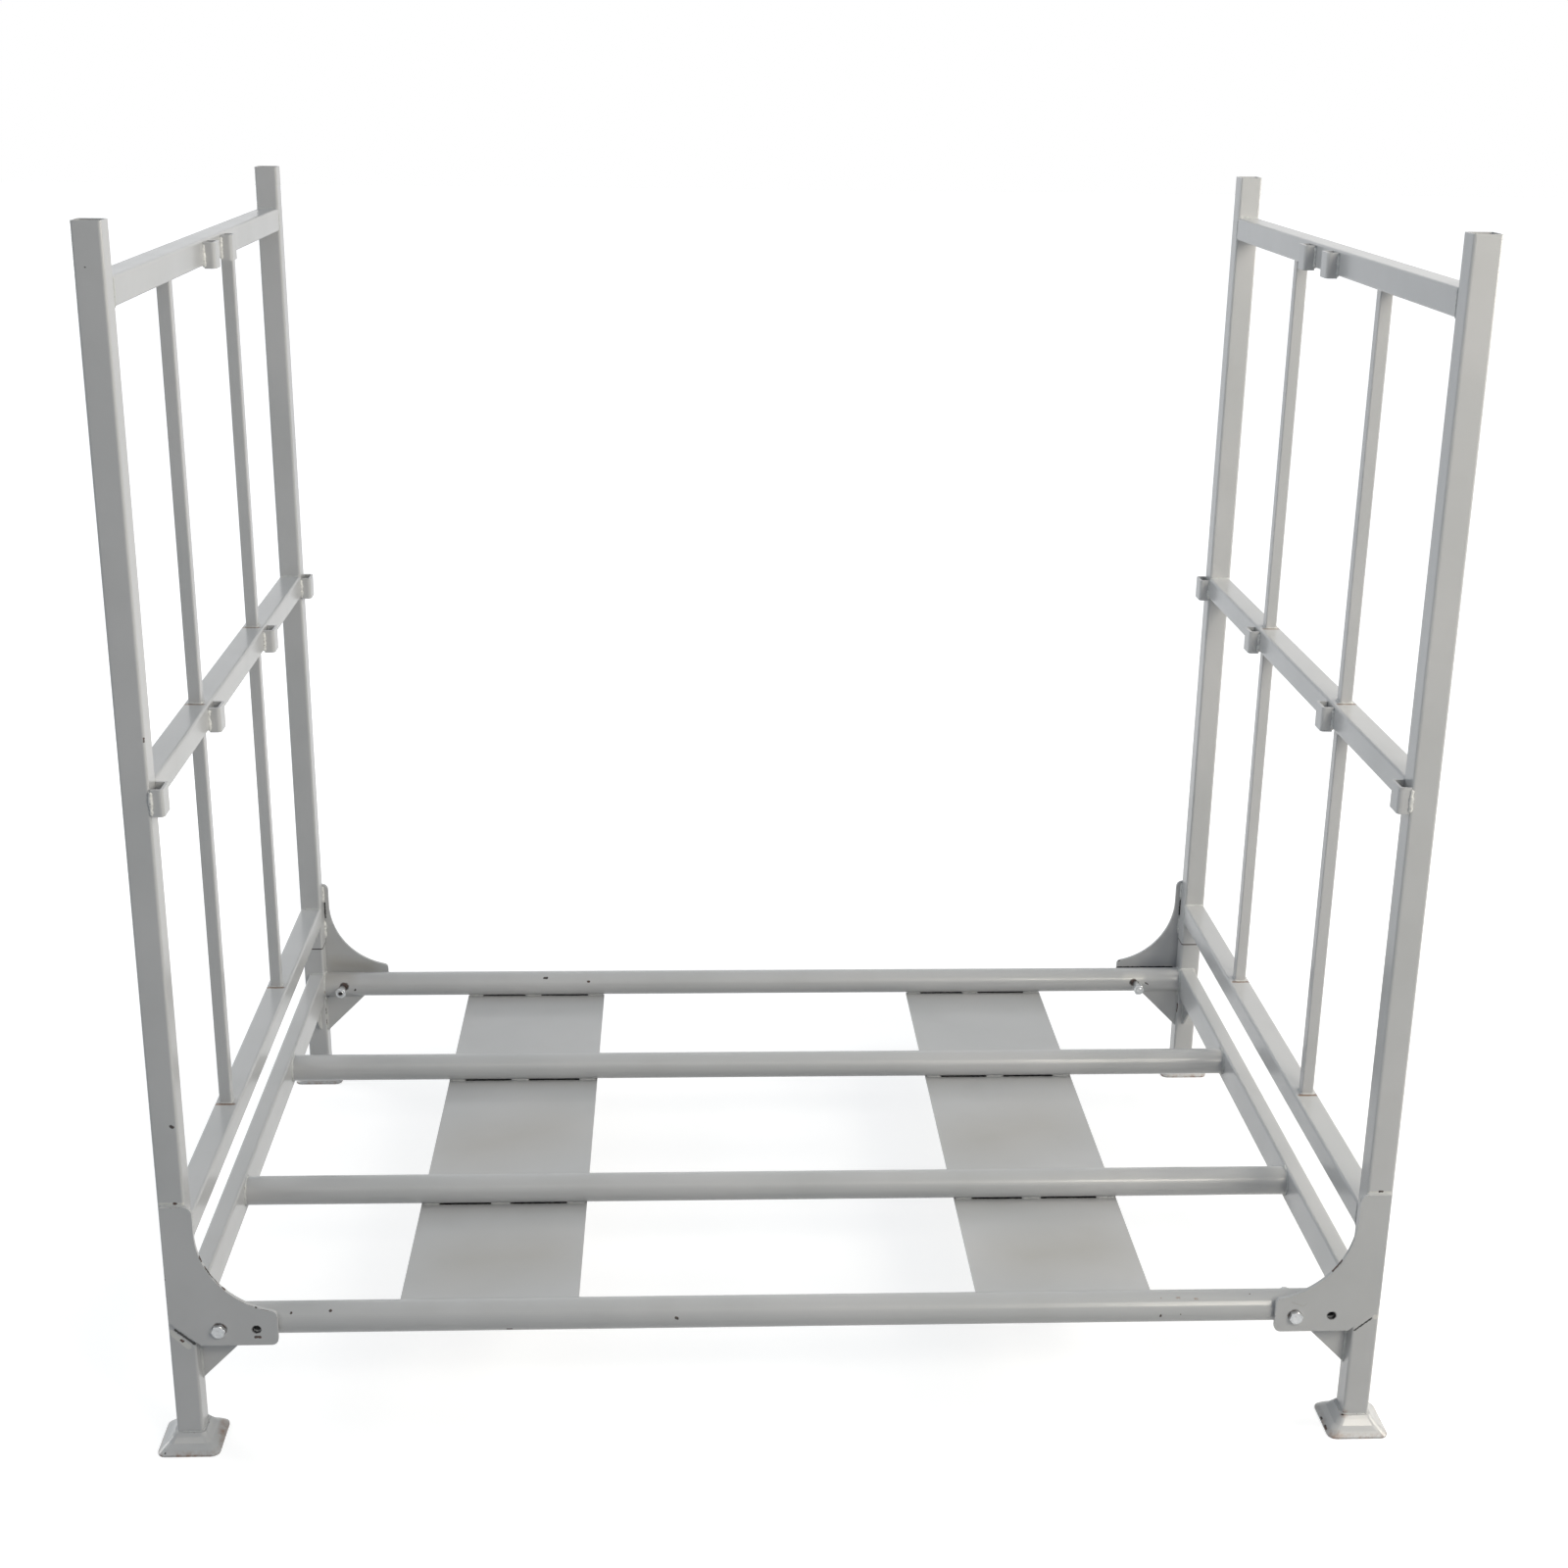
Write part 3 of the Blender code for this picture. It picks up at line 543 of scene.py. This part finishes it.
def gap_shade_marks(plate):
    """Painted shade in the gaps between a deck plate and each tube over it, between the stitch welds."""
    marks = []
    lo, hi = low(plate) / MILLIMETRE, high(plate) / MILLIMETRE
    for tube in TUBES:
        for face in (FRONT, BACK):
            y = middle(tube).y / MILLIMETRE + face * GAP_SHADE_PLACE
            if lo.y < y < hi.y:
                for start, end in GAP_SHADE_SHARES:
                    ends = [(lo.x + (hi.x - lo.x) * share, y, hi.z) for share in (start, end)]
                    marks.append(("painted_shade", *ends, GAP_SHADE_RADIUS))
    return marks


def deck_marks(plate):
    """Painted shade in the gaps, and the faint brown dust that lies between the middle tubes."""
    at, top = middle(plate).x / MILLIMETRE, high(plate).z / MILLIMETRE
    dust = [
        ("dust", *[(at + across, along, top) for across, along in ends], radius)
        for *ends, radius in DUST_LINES
    ]
    return gap_shade_marks(plate) + dust


def dress_base():
    """Paint or zinc on each piece of the base."""
    for seed, name in enumerate(TUBES):
        set_finish(NODES[name], paint(f"enamel_{name}", seed, marks=MARKS.get(name, ())))
    for order, (side, _) in enumerate(SIDES):
        rail, plate = f"side_rail_{side}", f"deck_plate_{side}"
        seed = FIRST_SEED["side_rail"] + order
        set_finish(NODES[rail], paint(f"enamel_{rail}", seed, chips=CHIPS["side_rail"]))
        seed = FIRST_SEED["deck_plate"] + order
        set_finish(NODES[plate], paint(f"enamel_{plate}", seed, marks=deck_marks(plate)))
    for order, foot in enumerate(FEET):
        floor = low(foot).z
        leg, bolt, nut = (foot.replace("foot", other) for other in ("leg", "pivot_bolt", "pivot_nut"))
        finish = paint(
            f"enamel_{foot}",
            FIRST_SEED["foot"] + order,
            chips=CHIPS["foot"],
            marks=MARKS.get(foot, ()),
            rust_below=(floor, floor + RIM_HEIGHT),
        )
        set_finish(NODES[foot], finish)
        finish = paint(
            f"enamel_{leg}",
            FIRST_SEED["leg"] + order,
            chips=CHIPS["leg"],
            marks=MARKS.get(leg, ()),
            seam=high(leg).z,
        )
        set_finish(NODES[leg], finish)
        set_finish(NODES[bolt], zinc(f"zinc_{bolt}", order, MARKS.get(bolt, ())))
        set_finish(NODES[nut], zinc(f"zinc_{nut}", FIRST_SEED["nut"] + order))


def bar_stains(side_name):
    """Brown tints at the feet of the bars, where the welds were not cleaned before painting."""
    stains = []
    for span in ("lower", "upper"):
        for end, _ in ENDS:
            lo, hi = (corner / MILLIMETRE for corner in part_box(f"{side_name}_bar_{span}_{end}"))
            y = lo.y - STAIN_PLACE
            for z in (lo.z, hi.z):
                ends = [(x, y, z) for x in (lo.x - STAIN_PLACE, hi.x + STAIN_PLACE)]
                stains.append(("stain", *ends, STAIN_RADIUS))
    return tuple(stains)


def dress_frame(side_name):
    """Paint on each piece of an end frame."""
    pieces = [node for node in sorted(NODES) if node.startswith(f"{side_name}_")]
    for seed, name in enumerate(pieces, FIRST_SEED["frame"]):
        family = next((part for part in ("plate", "loop") if part in name), "frame")
        seam = low(name).z if "upright" in name else None
        marks = MARKS.get(name, ())
        if name.endswith(("middle_rail", "bottom_rail")):
            marks += bar_stains(side_name)
        set_finish(NODES[name], paint(f"enamel_{name}", seed, CHIPS[family], marks, seam=seam))


dress_base()
for side_name, _ in SIDES:
    dress_frame(side_name)


# Weld beads
X_AXIS, Y_AXIS, Z_AXIS = Vector((1, 0, 0)), Vector((0, 1, 0)), Vector((0, 0, 1))
BEAD_STEP = 2.6 * MILLIMETRE
BEAD_SWELL = 0.25
BEAD_LUMP = 9 * MILLIMETRE
BEAD_WANDER = 0.12
BEAD_END = 0.55
EVEN, LUMPY, ROUGH = 0.25, 0.4, 0.5
BEAD_SIDES = 2
CORNER_POINTS = 3
POST_BEAD = 2.6 * MILLIMETRE
THIN_BEAD = 1.8 * MILLIMETRE
BAR_BEAD = 2.0 * MILLIMETRE
LOOP_BEAD = 3.5 * MILLIMETRE
# Flatter on the right, where the folded left frame's uprights end beside them
LUMP_BEAD = {LEFT: 4.2 * MILLIMETRE, RIGHT: 3.0 * MILLIMETRE}
TUBE_CORNER = 4 * MILLIMETRE
FLUSH_SINK = 4 * MILLIMETRE
END_SETBACK = 3 * MILLIMETRE


def straight_run(start, end):
    """Points of a weld along one edge."""
    start, end = Vector(start), Vector(end)
    steps = max(3, round((end - start).length / BEAD_STEP))
    return [start.lerp(end, step / steps) for step in range(steps + 1)]


def square_run(centre, across, up, width, height, corner):
    """Points of a weld round the end of a square tube, in the plane of two directions."""
    half_width, half_height = width / 2 - corner, height / 2 - corner
    rim = []
    for turn, (x, y) in enumerate(((1, 1), (-1, 1), (-1, -1), (1, -1))):
        for step in range(CORNER_POINTS):
            angle = math.radians(90 * (turn + step / (CORNER_POINTS - 1)))
            turned = (corner * math.cos(angle), corner * math.sin(angle))
            rim.append((x * half_width + turned[0], y * half_height + turned[1]))
    corners = [centre + across * x + up * y for x, y in rim]
    points = []
    for first, second in zip(corners, corners[1:] + corners[:1]):
        long = (second - first).length > 2 * BEAD_STEP
        points += straight_run(first, second)[:-1] if long else [first]
    return points


def round_run(centre, radius):
    """Points of a weld round the end of a cross tube, which runs along X."""
    steps = round(math.tau * radius / BEAD_STEP)
    turns = [math.tau * step / steps for step in range(steps)]
    return [centre + Vector((0, radius * math.cos(turn), radius * math.sin(turn))) for turn in turns]


def bead_thickness(index, point, lumps):
    """Share of the bead's radius: fine ripples from the arc, and slow swellings where it paused."""
    ripple = 1 - BEAD_SWELL * (index % 2) * chance.uniform(0.4, 1.0)
    return ripple * (1 + lumps * noise_field(point / BEAD_LUMP))


def lay_beads(name, runs, radius, body, material, lumps=EVEN):
    """One mesh of rippled weld beads. Each run is a list of points and whether it closes on itself."""
    bpy.ops.object.select_all(action="DESELECT")
    curve = bpy.data.curves.new(name, "CURVE")
    curve.dimensions = "3D"
    curve.bevel_depth = radius
    curve.bevel_resolution = BEAD_SIDES
    curve.use_fill_caps = True
    for points, closed in runs:
        spline = curve.splines.new("POLY")
        spline.points.add(len(points) - 1)
        spline.use_cyclic_u = closed
        for index, (knot, point) in enumerate(zip(spline.points, points)):
            wobble = Vector([chance.uniform(-1, 1) * radius * BEAD_WANDER for _ in range(3)])
            knot.co = (*(point + wobble), 1)
            knot.radius = bead_thickness(index, point, lumps)
        if not closed:
            spline.points[0].radius = spline.points[-1].radius = BEAD_END
    bead = bpy.data.objects.new(name, curve)
    bpy.context.scene.collection.objects.link(bead)
    bead.select_set(True)
    bpy.context.view_layer.objects.active = bead
    bpy.ops.object.convert(target="MESH")
    bead = bpy.context.object
    bpy.ops.object.shade_smooth()
    set_finish(bead, material)
    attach(bead, body)


def rail_welds(side_name, side):
    """Beads where the rails meet the uprights, ground down where the faces are flush."""
    runs = []
    for rail in ("bottom", "middle", "top"):
        node = f"{side_name}_{rail}_rail"
        lo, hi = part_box(node)
        size = hi.z - lo.z
        for y in (lo.y, hi.y):
            centre = Vector((middle(node).x - side * POST_BEAD / 4, y, middle(node).z))
            runs.append((square_run(centre, X_AXIS, Z_AXIS, size - FLUSH_SINK, size, TUBE_CORNER), True))
    return runs


def bar_welds(side_name):
    """Beads round both ends of each thin bar."""
    runs = []
    for span in ("lower", "upper"):
        for end, _ in ENDS:
            node = f"{side_name}_bar_{span}_{end}"
            lo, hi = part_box(node)
            for z in (lo.z, hi.z):
                centre = Vector((middle(node).x, middle(node).y, z))
                runs.append((square_run(centre, X_AXIS, Y_AXIS, hi.x - lo.x, hi.x - lo.x, BAR_BEAD), True))
    return runs


# Where the stitches lie up the upright's inner edge, as shares of the pivot plate's height
PLATE_STITCH_SHARES = ((0.51, 0.66), (0.84, 0.985))


def plate_welds(side_name, side):
    """Thin beads along the outer edge and the top of each pivot plate."""
    runs = []
    for end_name, end in ENDS:
        lo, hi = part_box(f"{side_name}_pivot_plate_{end_name}")
        upright = f"{side_name}_upright_{end_name}"
        face = high(upright).y if end == BACK else low(upright).y
        outer = hi.x if side == RIGHT else lo.x
        inner = low(upright).x if side == RIGHT else high(upright).x
        foot = low(upright).z + 2 * END_SETBACK
        runs.append((straight_run((outer, face, foot), (outer, face, hi.z - END_SETBACK)), False))
        runs.append((straight_run((outer, face, hi.z), (inner, face, hi.z)), False))
    return runs


def plate_stitches(side_name, side):
    """Heavy stitches between each pivot plate and the inner edge of its upright."""
    runs = []
    for end_name, end in ENDS:
        lo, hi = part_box(f"{side_name}_pivot_plate_{end_name}")
        upright = f"{side_name}_upright_{end_name}"
        face = high(upright).y if end == BACK else low(upright).y
        inner = low(upright).x if side == RIGHT else high(upright).x
        for start, finish in PLATE_STITCH_SHARES:
            heights = [lo.z + (hi.z - lo.z) * share for share in (start, finish)]
            ends = [(inner, face - end * THIN_BEAD, height) for height in heights]
            runs.append((straight_run(*ends), False))
    return runs


def loop_welds(side_name, side):
    """Lumpy beads down both legs of each strip loop."""
    runs = []
    for node in sorted(name for name in NODES if name.startswith(f"{side_name}_") and "loop" in name):
        lo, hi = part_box(node)
        face = hi.x if side == RIGHT else lo.x
        for y in (lo.y, hi.y):
            ends = [(face, y, z) for z in (lo.z + END_SETBACK, hi.z - END_SETBACK)]
            runs.append((straight_run(*ends), False))
    return runs


def weld_frame(side_name, side):
    """All the beads of one end frame."""
    body = f"{side_name}_frame"
    rails = painted_weld(f"weld_{side_name}_rails", 3)
    bars = painted_weld(f"weld_{side_name}_bars", 5, grime=0.9)
    lay_beads(f"{side_name}_rail_welds", rail_welds(side_name, side), POST_BEAD, body, rails)
    lay_beads(f"{side_name}_bar_welds", bar_welds(side_name), BAR_BEAD, body, bars)
    plates = painted_weld(f"weld_{side_name}_plates", 7)
    # The loop and stitch beads get the near-white colour as a painted highlight for their sparkle
    loops = painted_weld(f"weld_{side_name}_loops", 9, grime=0.2, pale=WELD_PAINTED_HIGHLIGHT)
    lay_beads(f"{side_name}_plate_welds", plate_welds(side_name, side), THIN_BEAD, body, plates)
    stitches = plate_stitches(side_name, side)
    lay_beads(f"{side_name}_plate_stitches", stitches, LUMP_BEAD[side], body, loops, LUMPY)
    lay_beads(f"{side_name}_loop_welds", loop_welds(side_name, side), LOOP_BEAD, body, loops, ROUGH)


def foot_welds():
    """A bead round the bottom of each leg, where it stands on its foot."""
    runs = []
    for foot in FEET:
        post = "_".join((foot.split("_")[2], "upright", foot.split("_")[1]))
        size = high(post).x - low(post).x
        centre = Vector((middle(foot).x, middle(foot).y, high(foot).z))
        runs.append((square_run(centre, X_AXIS, Y_AXIS, size, size, TUBE_CORNER), True))
    return runs


def side_rail_welds():
    """A bead round each end of the side rails."""
    runs = []
    for side_name, _ in SIDES:
        node = f"side_rail_{side_name}"
        lo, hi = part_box(node)
        for y in (lo.y, hi.y):
            centre = Vector((middle(node).x, y, middle(node).z))
            runs.append((square_run(centre, X_AXIS, Z_AXIS, hi.x - lo.x, hi.z - lo.z, TUBE_CORNER), True))
    return runs


def tube_welds():
    """A bead round each end of the cross tubes."""
    runs = []
    for node in TUBES:
        lo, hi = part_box(node)
        for x in (lo.x, hi.x):
            centre = Vector((x, middle(node).y, middle(node).z))
            runs.append((round_run(centre, (hi.z - lo.z) / 2), True))
    return runs


# Stitches across a deck plate as shares of its width, and how far they lie from the tube's middle
STITCH_SHARES = ((0.01, 0.105), (0.42, 0.535), (0.88, 0.99))
STITCH_PLACE = 10 * MILLIMETRE
STITCH_BEAD = 2.3 * MILLIMETRE


def deck_stitches():
    """Short stitches between each tube and each deck plate, with open gaps between them."""
    runs = []
    for side_name, _ in SIDES:
        lo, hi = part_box(f"deck_plate_{side_name}")
        for tube in TUBES:
            for face in (FRONT, BACK):
                y = middle(tube).y + face * STITCH_PLACE
                if not lo.y < y < hi.y:
                    continue
                for shares in STITCH_SHARES:
                    ends = [(lo.x + (hi.x - lo.x) * share, y, hi.z + STITCH_BEAD / 2) for share in shares]
                    runs.append((straight_run(*ends), False))
    return runs


GUSSET_HALF = 2 * MILLIMETRE
GUSSET_END = 3 * END_SETBACK


def gusset_welds():
    """Beads on both sides of each gusset: up the leg, and along the tube or the side rail."""
    runs = []
    for end_name, end in ENDS:
        for side_name, side in SIDES:
            leg, upright = f"leg_{end_name}_{side_name}", f"{side_name}_upright_{end_name}"
            tube, rail = f"cross_tube_{end_name}", f"side_rail_{side_name}"
            inner_x = low(upright).x if side == RIGHT else high(upright).x
            inner_y = low(upright).y if end == BACK else high(upright).y
            tip_x = low(leg).x if side == RIGHT else high(leg).x
            tip_y = low(leg).y if end == BACK else high(leg).y
            for face in (-GUSSET_HALF, GUSSET_HALF):
                y, top = middle(tube).y + face, low(tube).z
                drop = abs(tip_x - inner_x)
                runs.append((straight_run((inner_x, y, top - END_SETBACK), (inner_x, y, top - drop)), False))
                runs.append((straight_run((inner_x, y, top), (tip_x + side * GUSSET_END, y, top)), False))
                x, top = middle(rail).x + face, low(rail).z
                drop = abs(tip_y - inner_y)
                runs.append((straight_run((x, inner_y, top - END_SETBACK), (x, inner_y, top - drop)), False))
                runs.append((straight_run((x, inner_y, top), (x, tip_y + end * GUSSET_END, top)), False))
    return runs


def weld_base():
    """All the beads of the base."""
    finish = painted_weld("weld_feet", 13)
    lay_beads("foot_welds", foot_welds(), THIN_BEAD, "base", finish, ROUGH)
    finish = painted_weld("weld_side_rails", 17)
    lay_beads("side_rail_welds", side_rail_welds(), POST_BEAD, "base", finish)
    finish = painted_weld("weld_tubes", 19, grime=0.7)
    lay_beads("tube_welds", tube_welds(), POST_BEAD, "base", finish, LUMPY)
    finish = painted_weld("weld_deck", 23, grime=0.2)
    lay_beads("deck_plate_welds", deck_stitches(), STITCH_BEAD, "base", finish)
    finish = painted_weld("weld_gussets", 29, grime=0.4)
    lay_beads("gusset_welds", gusset_welds(), POST_BEAD, "base", finish, LUMPY)


weld_base()
for side_name, side in SIDES:
    weld_frame(side_name, side)


# Floor and backdrop
FLOOR_GREY = "#B4B4B4"
FLOOR_SIZE = 60
FLOOR_DROP = 0.5 * MILLIMETRE
FLOOR_ROUGHNESS = 0.9
FLOOR_SPECULAR = 0.2
# The floor's own light under the rack and beyond it, and how far each reaches from the middle
GLOW = (0.60, 0.80)
GLOW_REACH = (1.2, 3.0)
CAMERA_GLOW = 1.24
WHITE = (1, 1, 1, 1)
WORLD_LEVEL = 0.255
WORLD_COLOUR = "#D4E9FF"


def lay_floor():
    """A plain pale floor that stays white where no shadow falls."""
    bpy.ops.object.select_all(action="DESELECT")
    bpy.ops.mesh.primitive_plane_add(size=FLOOR_SIZE, location=(0, 0, -FLOOR_DROP))
    floor = bpy.context.object
    floor.name = "studio_floor"
    material, shader, place = new_material("studio_floor_white")
    shader.inputs["Base Color"].default_value = linear(FLOOR_GREY)
    shader.inputs["Roughness"].default_value = FLOOR_ROUGHNESS
    shader.inputs["Specular IOR Level"].default_value = FLOOR_SPECULAR
    shader.inputs["Emission Color"].default_value = WHITE
    glow = spread(material, share_between(material, length_of(material, place), *GLOW_REACH), *GLOW)
    rays = add_node(material, "ShaderNodeLightPath").outputs
    shown = either(material, times(material, rays["Is Camera Ray"], CAMERA_GLOW), rays["Is Glossy Ray"])
    join(material, times(material, shown, glow), shader, "Emission Strength")
    set_finish(floor, material)


def light_world():
    """Soft pale surroundings, pure white where the camera or a reflection sees them."""
    world = bpy.data.worlds.new("studio")
    bpy.context.scene.world = world
    world.use_nodes = True
    world.node_tree.nodes.clear()
    inputs = {"Color": linear(WORLD_COLOUR), "Strength": WORLD_LEVEL}
    glow = add_node(world, "ShaderNodeBackground", {}, inputs).outputs["Background"]
    white = add_node(world, "ShaderNodeBackground", {}, {"Color": WHITE}).outputs["Background"]
    rays = add_node(world, "ShaderNodeLightPath").outputs
    shown = either(world, rays["Is Camera Ray"], rays["Is Glossy Ray"])
    surface = add_node(world, "ShaderNodeMixShader", {}, {0: shown, 1: glow, 2: white}).outputs["Shader"]
    add_node(world, "ShaderNodeOutputWorld", {}, {"Surface": surface})


# Lamps: place, point aimed at, size, power in watts and colour
PALE_DAYLIGHT = "#FFFFFA"
WARM_DAYLIGHT = "#FFF8EA"
LAMPS = {
    "left_window": ((-4.6, 1.8, 2.5), (0.9, 0, 0.9), (2.6, 2.6), 99, PALE_DAYLIGHT),
    "right_window": ((4.4, -0.4, 2.4), (-0.9, 0, 0.9), (2.2, 2.2), 110, WARM_DAYLIGHT),
    "front_lamp": ((1.9, -3.3, 2.6), (0.9, 0, 1.0), (1.4, 1.4), 60, WARM_DAYLIGHT),
    "top_right_lamp": ((2.6, -0.5, 3.2), (1.0, 0, 0.2), (1.4, 1.4), 24, WARM_DAYLIGHT),
    "overhead_strip": ((0, -5.4, 4.9), (0, 0, 0.3), (6.0, 0.25), 30, WARM_DAYLIGHT),
}


def add_lamp(name, place, aim, size, power, colour):
    """A soft lamp aimed at a point."""
    bpy.ops.object.select_all(action="DESELECT")
    bpy.ops.object.light_add(type="AREA", location=place)
    lamp = bpy.context.object
    lamp.name = name
    lamp.data.shape = "RECTANGLE"
    lamp.data.size, lamp.data.size_y = size
    lamp.data.energy = power
    lamp.data.color = linear(colour)[:3]
    lamp.rotation_euler = (Vector(aim) - Vector(place)).to_track_quat("-Z", "Y").to_euler()


# Camera, fitted to the photograph
CAMERA_PLACE = (-0.14601, -3.54726, 2.06040)
CAMERA_YAW = 0.047866
CAMERA_PITCH = -0.326884
CAMERA_ROLL = -0.013601
FOCAL_PIXELS = 2225.12
PICTURE_PIXELS = 1600
SENSOR = 36


def place_camera():
    """The camera where the photograph was taken, from its yaw, pitch and roll."""
    bpy.ops.object.camera_add(location=CAMERA_PLACE)
    camera = bpy.context.object
    camera.data.sensor_width = SENSOR
    camera.data.lens = FOCAL_PIXELS / PICTURE_PIXELS * SENSOR
    forward = Vector((
        math.sin(CAMERA_YAW) * math.cos(CAMERA_PITCH),
        math.cos(CAMERA_YAW) * math.cos(CAMERA_PITCH),
        math.sin(CAMERA_PITCH),
    ))
    level_right = Vector((math.cos(CAMERA_YAW), -math.sin(CAMERA_YAW), 0))
    level_down = forward.cross(level_right)
    right = math.cos(CAMERA_ROLL) * level_right + math.sin(CAMERA_ROLL) * level_down
    down = -math.sin(CAMERA_ROLL) * level_right + math.cos(CAMERA_ROLL) * level_down
    turned = Matrix((right, -down, -forward)).transposed()
    camera.rotation_euler = turned.to_euler()
    bpy.context.scene.camera = camera


lay_floor()
light_world()
for name, lamp in LAMPS.items():
    add_lamp(name, *lamp)
place_camera()
bpy.context.scene.view_settings.view_transform = "Standard"
